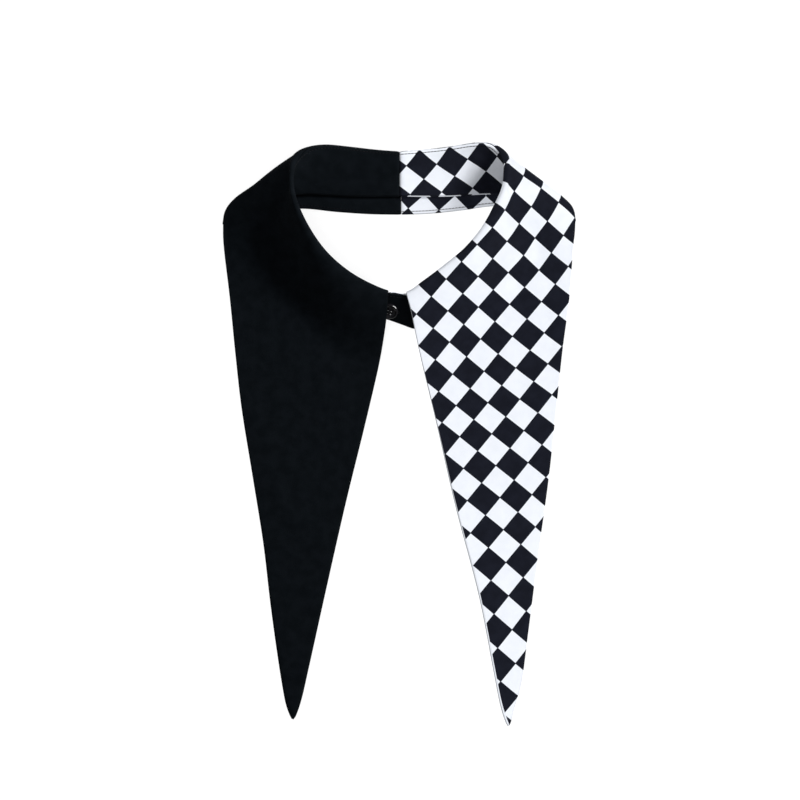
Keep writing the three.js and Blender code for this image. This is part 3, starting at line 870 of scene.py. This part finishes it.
def backLine(half):
    # understitching, seen on the strip below the stand
    def place(u, shift=0):
        width = np.linalg.norm(backPoint(half, u, 1) - backPoint(half, u, 0), axis=-1)
        return backPoint(half, u, 1 - (stitch["under"] - shift) / width)
    thick = collar["fallThick"] * sheet["plainShare"] + stitch["underLift"]
    return lineOnCloth(half, place, *stitch["underSpan"], -1, thick)


stitchSet = {}
for colour, half in (("black", blackHalf), ("check", checkHalf)):
    rows = {"stand": [standLine(half, -1), standLine(half, 1)], "under": [backLine(half)]}
    stitchSet[colour] = [layStitches(f"{kind}_stitches_{colour}", lines, stitchSizes[kind])
                         for kind, lines in rows.items()]
print("stitches laid")


# button, its thread and the buttonhole

button = {
    "radius": 5.2, "thick": 2.3, "edgeRound": 0.55, "rimFlat": 0.4, "steps": 72, "sharpAngle": 38,
    "dish": 3.5, "dishDepth": 0.45, "dishSag": 0.05,  # its sunk middle
    "hole": 0.75, "holeFlare": 0.15, "holeAt": 1.15, "holeSteps": 24,
    "row": 14.2, "part": 0.58, "standOff": 0.6,  # where it lies on the black stand
    "thread": 0.17, "slitLength": 13.0, "slitWidth": 2.6,
}


def ringAngles(steps):
    return [2 * math.pi * i / steps for i in range(steps)]


def bridgeRings(body, rings, steps):
    # a ring of a single point closes an end
    for low, high in zip(rings, rings[1:]):
        for i in range(steps):
            j = (i + 1) % steps
            corners = [low[i % len(low)], low[j % len(low)], high[j % len(high)], high[i % len(high)]]
            kept = list(dict.fromkeys(corners))
            if len(kept) > 2:
                body.faces.new(kept)


def meshOf(body, name):
    bmesh.ops.recalc_face_normals(body, faces=body.faces)
    mesh = bpy.data.meshes.new(name)
    body.to_mesh(mesh)
    body.free()
    return mesh


def latheMesh(name, profile, steps):
    # profile is radius and height, from the lower middle to the upper one
    body = bmesh.new()
    rings = []
    for radius, height in profile:
        angles = ringAngles(steps) if radius > 1e-6 else [0]
        rings.append([body.verts.new((radius * math.cos(a), radius * math.sin(a), height)) for a in angles])
    bridgeRings(body, rings, steps)
    return meshOf(body, name)


def buttonProfile():
    half, rim = button["thick"] / 2, button["edgeRound"]
    edge, floorAt = button["radius"] - rim, half - button["dishDepth"]
    turn = np.linspace(0, math.pi / 2, 6)
    lower = [(edge + rim * math.sin(a), -half + rim * (1 - math.cos(a))) for a in turn]
    upper = [(edge + rim * math.cos(a), half - rim * (1 - math.sin(a))) for a in turn]
    dish = [(mix(edge - button["rimFlat"], button["dish"], ease(s)), half - button["dishDepth"] * ease(s))
            for s in np.linspace(0, 1, 7)]
    return [(0, -half)] + lower + upper + dish + [(0, floorAt - button["dishSag"])]


def buttonSeat():
    # the place of the button's middle on the black stand, and the ways along and out of it there
    half, row, part = blackHalf, button["row"], button["part"]
    rowStep, partStep = 0.4, 0.2

    def onStand(r, p):
        top, down, _ = standFrame(half, r)
        return mix(top + down * collar["seamGap"] / 2, half["foot"].point(r / half["lastRow"]), p)

    along = unit(onStand(row + rowStep, part) - onStand(row - rowStep, part))
    down = unit(onStand(row, part + partStep) - onStand(row, part - partStep))
    return onStand(row, part), along, unit(np.cross(along, down))


def seatMatrix():
    middle, along, out = buttonSeat()
    lift = collar["standThick"] / 2 + button["standOff"] + button["thick"] / 2
    place = inFrame(middle + out * lift, blackHalf)
    z = Vector(out * [-1, 1, 1]).normalized()
    x = Vector(along * [1, -1, -1]).normalized()
    y = z.cross(x).normalized()
    turn = Matrix((x, y, z)).transposed().to_4x4()
    return Matrix.Translation(place) @ turn @ Matrix.Scale(mm, 4)


def makeButton():
    thing = addObject(latheMesh("button_moulded", buttonProfile(), button["steps"]))
    bottom, top = -button["thick"] / 2, button["thick"] / 2 - button["dishDepth"]
    hole, flare = button["hole"], button["holeFlare"]
    wide, aside, past = hole + flare, 0.7, 1  # the drill reaches past the button by these
    spool = [(0, bottom - past), (wide + aside, bottom - past), (wide, bottom), (hole, bottom + flare),
             (hole, top - flare), (wide, top), (wide + aside, top + past), (0, top + past)]
    for x, y in ((-1, -1), (-1, 1), (1, -1), (1, 1)):
        cutter = addObject(latheMesh("hole", spool, button["holeSteps"]))
        cutter.location = (x * button["holeAt"], y * button["holeAt"], 0)
        setAll(thing.modifiers.new("hole", "BOOLEAN"), object=cutter, solver="EXACT")
        bakeModifiers(thing)
        bpy.data.objects.remove(cutter)
    thing.data.transform(seatMatrix())
    thing.data.materials.clear()
    thing.data.materials.append(buttonPlastic)
    onlySelect(thing)
    bpy.ops.object.shade_smooth_by_angle(angle=math.radians(button["sharpAngle"]))
    return thing


def strandPath(y, strand):
    # up one hole, over the button and down the next, past the cloth's face
    beside, radius, intoCloth, seated, apart = abs(strand), button["thread"], 0.3, 0.9, 1.75
    bend, outTo, gathered, bowed = (0.56, 0.2), 0.62, 0.4, 0.12
    reach, lower = 0.98 - 0.1 * beside, 0.08 * beside
    low = -button["thick"] / 2 - button["standOff"] - intoCloth
    high = button["thick"] / 2 - button["dishDepth"] + radius * seated
    path = []
    for s in np.linspace(-1, 1, 33):
        rise = 1 - easeOver(abs(s), bend)
        x = button["holeAt"] * math.copysign(min(1, abs(s) / outTo), s) * reach
        shift = strand * radius * apart * (1 - gathered + gathered * rise)
        path.append(Vector((x, y + shift, mix(low, high, rise) + bowed * (1 - s * s) * rise - lower)))
    return path


def makeButtonThread():
    # two bars of three strands each, from hole to hole
    body = bmesh.new()
    steps, side, radius, at = 8, Vector((0, 1, 0)), button["thread"], button["holeAt"]
    for y, strand in [(y, strand) for y in (-at, at) for strand in (-1, 0, 1)]:
        path = strandPath(y, strand)
        rings = []
        for i, point in enumerate(path):
            ahead = (path[min(i + 1, len(path) - 1)] - path[max(i - 1, 0)]).normalized()
            up = ahead.cross(side).normalized()
            rings.append([body.verts.new(point + (side * math.cos(a) + up * math.sin(a)) * radius)
                          for a in ringAngles(steps)])
        bridgeRings(body, rings, steps)
        body.faces.new(rings[0])
        body.faces.new(rings[-1])
    mesh = meshOf(body, "button_thread")
    mesh.transform(seatMatrix())
    mesh.materials.append(blackThread)
    mesh.shade_smooth()
    return addObject(mesh)


def makeButtonhole():
    # satin stitches round the slit, on the face of the stand below the button
    middle, along, out = buttonSeat()
    down = np.cross(out, along)
    turns = np.linspace(0, 2 * math.pi, 121)
    square, aside, raised = 4, button["slitWidth"] * 0.34, 0.05
    reach = (button["slitLength"] - button["slitWidth"]) / 2
    x = np.clip(np.cos(turns) * square, -1, 1) * reach + np.cos(turns) * aside
    y = np.sin(turns) * aside
    points = middle + along * x[:, None] + down * y[:, None] + out * (collar["standThick"] / 2 + raised)
    line = (inFrame(points, blackHalf), np.tile(out * [-1, 1, 1], (len(points), 1)))
    return layStitches("buttonhole_stitches", [line], stitchSizes["hole"])


buttonMoulded = makeButton()
buttonThread = makeButtonThread()
buttonhole = makeButtonhole()
print("button made")


# table, light and camera

studio = {
    "floorLight": (0.94, 0.94, 0.94, 1), "floorDark": (0.92, 0.92, 0.92, 1),
    "floorSize": 6, "floorGrain": 3, "floorRough": 0.9,
    "camera": (0.000426, 0.02205, 1.8), "lens": 124.6, "sensor": 36, "world": 0.28,
}
# name, x, y, z, size, watts and what it lights: each looks at the collar's middle
lamps = [
    ("key", 1.44, 0.65, 0.9, 0.5, 54, "rest"),
    ("overhead", -0.1, 0.2, 2.3, 1.4, 8, "rest"),
    ("checkKey", 1.44, 0.65, 0.9, 0.5, 24, "check"),
    ("checkFill", -0.82, -0.82, 1.38, 0.6, 24, "check"),
    ("buttonRim", 0.81, 0.43, 0.77, 1.1, 290, "button"),
    ("table", 0.0, 0.0, 2.5, 2.5, 70, "floor"),
]


def makeFloor():
    mesh = bpy.data.meshes.new("floor")
    reach = studio["floorSize"] / 2
    corners = [(-reach, -reach, 0), (reach, -reach, 0), (reach, reach, 0), (-reach, reach, 0)]
    mesh.from_pydata(corners, [], [(0, 1, 2, 3)])
    tree = NodeTree("pale_table")
    colour = tree.blend(tree.grain(studio["floorGrain"]), studio["floorDark"], studio["floorLight"])
    mesh.materials.append(tree.finish({"Base Color": colour, "Roughness": studio["floorRough"]}))
    return addObject(mesh)


def makeLamps(floor):
    # the table's own lamp casts no shadows, so that it stays plain white
    groups = {"floor": [floor], "check": [fallCheck], "button": [buttonMoulded]}
    apart = sum(groups.values(), [])
    groups["rest"] = [thing for thing in bpy.context.scene.objects
                      if thing.type == "MESH" and thing not in apart]
    for name, x, y, z, size, watts, group in lamps:
        data = setAll(bpy.data.lights.new(name, "AREA"), shape="DISK", size=size, energy=watts)
        data.use_shadow = group != "floor"
        lamp = addObject(data)
        lamp.location = (x, y, z)
        lamp.rotation_euler = Vector((-x, -y, -z)).to_track_quat("-Z", "Y").to_euler()
        lit = bpy.data.collections.new(name + "_lit")
        for thing in groups[group]:
            lit.objects.link(thing)
        lamp.light_linking.receiver_collection = lit


floor = makeFloor()
makeLamps(floor)
scene = bpy.context.scene
scene.world = bpy.data.worlds.new("studio")
scene.world.use_nodes = True
background = scene.world.node_tree.nodes["Background"].inputs
background[0].default_value = (1, 1, 1, 1)
background[1].default_value = studio["world"]
lens = setAll(bpy.data.cameras.new("camera"), lens=studio["lens"], sensor_width=studio["sensor"])
scene.camera = addObject(lens)
scene.camera.location = studio["camera"]
scene.view_settings.view_transform = "Standard"
print("studio set")

# each piece hides its part of the frame, and it and what is sewn on it are attached to the root; every sheet
# lies folded, and the table gives the size in metres of the modelled cloth laid flat, which is the smallest
# rectangle round it, and its own area
sheets = {
    "fall_black": (fallBlack, (0.114, 0.444), 0.0259, "the table", [stitchSet["black"][1]]),
    "fall_check": (fallCheck, (0.116, 0.449), 0.0261, "the table", [stitchSet["check"][1]]),
    "stand_black": (standBlack, (0.044, 0.212), 0.0055, "fall_black_cloth",
                    [stitchSet["black"][0], buttonhole]),
    "stand_check": (standCheck, (0.046, 0.202), 0.0054, "fall_check_cloth", [stitchSet["check"][0]]),
}
for node, (thing, flat, area, below, sewn) in sheets.items():
    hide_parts(node)
    for part in [thing] + sewn:
        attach(part, "root")
        "black_cloth" if "black" in node else "checked_cloth"
    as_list(sewn)
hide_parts("button")
for thing in (buttonMoulded, buttonThread):
    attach(thing, "root")

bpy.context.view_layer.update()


print("finished")
